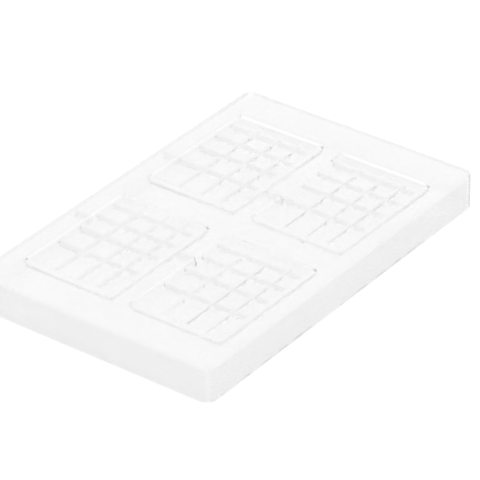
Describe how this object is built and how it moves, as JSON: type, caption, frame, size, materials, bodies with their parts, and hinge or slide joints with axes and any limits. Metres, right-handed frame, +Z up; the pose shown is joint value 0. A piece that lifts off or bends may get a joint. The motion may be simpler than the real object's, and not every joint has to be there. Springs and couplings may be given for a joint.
{
  "type": "cavity tray mould",
  "caption": "Clear rigid tray mould: flat deck on a deep skirt, with shallow rectangular cavities whose floors are split by thin dividers into uneven rectangles.",
  "frame": {"origin": "centre of the footprint, on the plane the lower rim stands on", "axes": "+X along the length towards the narrow cells of each cavity, +Y across the width towards the wide cells, +Z up through the cavity mouths"},
  "size_m": [0.275, 0.175, 0.024],
  "materials": {
    "clear_polycarbonate": "gloss"
  },
  "bodies": {
    "root": {"skirt_wall": "clear_polycarbonate", "deck_plate": "clear_polycarbonate", "cavity_tray_front_left": "clear_polycarbonate", "cavity_tray_front_right": "clear_polycarbonate", "cavity_tray_back_left": "clear_polycarbonate", "cavity_tray_back_right": "clear_polycarbonate", "divider_grid_front_left": "clear_polycarbonate", "divider_grid_front_right": "clear_polycarbonate", "divider_grid_back_left": "clear_polycarbonate", "divider_grid_back_right": "clear_polycarbonate", "web_middle_left": "clear_polycarbonate", "web_back_left": "clear_polycarbonate", "web_middle_right": "clear_polycarbonate", "web_back_right": "clear_polycarbonate"}
  },
  "joints": []
}
